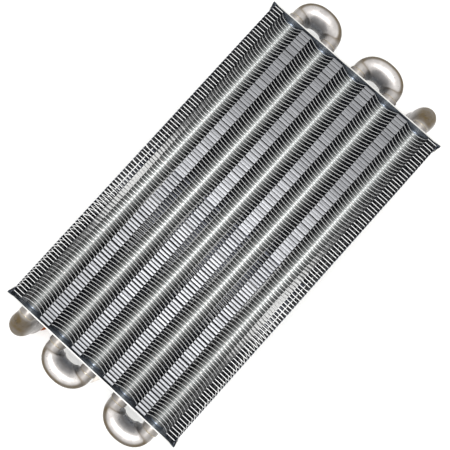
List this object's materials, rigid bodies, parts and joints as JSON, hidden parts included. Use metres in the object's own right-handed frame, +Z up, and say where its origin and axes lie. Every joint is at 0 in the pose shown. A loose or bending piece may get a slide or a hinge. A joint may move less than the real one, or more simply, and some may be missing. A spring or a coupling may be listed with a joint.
{
  "type": "finned tube heat exchanger",
  "caption": "Gas boiler heat exchanger core: flattened tubes in series through a stack of sheet fins, with return bends and port elbows.",
  "frame": {"origin": "centre of the seat, the plane of the end plates' feet, midway between the end plates and on the middle tube", "axes": "+X along the tubes towards the outlet end, +Y across the tubes towards the inlet's side, +Z up from the burner side to the flue side"},
  "size_m": [0.3136, 0.1458, 0.1005],
  "materials": {
    "coated_fin": "satin silver heat-resistant coating on copper sheet",
    "coated_plate": "satin silver heat-resistant coating on pressed copper sheet",
    "tinned_tube": "dip-tinned copper tube with brown flux stain",
    "bare_copper": "bare drawn copper, heat-tinted orange brown",
    "braze": "brazing alloy fillet",
    "strip_steel": "rolled stainless strip"
  },
  "bodies": {
    "root": {"fin_pack_1": "coated_fin", "fin_pack_2": "coated_fin", "fin_pack_3": "coated_fin", "fin_pack_4": "coated_fin", "fin_pack_5": "coated_fin", "end_plate_left": "coated_plate", "end_plate_right": "coated_plate", "tube_1": "tinned_tube", "tube_2": "tinned_tube", "tube_3": "tinned_tube", "tube_4": "tinned_tube", "tube_5": "tinned_tube", "turbulator_1": "strip_steel", "turbulator_2": "strip_steel", "turbulator_3": "strip_steel", "turbulator_4": "strip_steel", "turbulator_5": "strip_steel", "return_bend_1_2": "tinned_tube", "return_bend_2_3": "tinned_tube", "return_bend_3_4": "tinned_tube", "return_bend_4_5": "tinned_tube", "inlet_elbow": "tinned_tube", "outlet_elbow": "tinned_tube", "inlet_pipe": "bare_copper", "outlet_pipe": "bare_copper", "braze_rings_left": "braze", "braze_rings_right": "braze", "corner_tag": "tinned_tube"}
  },
  "joints": []
}
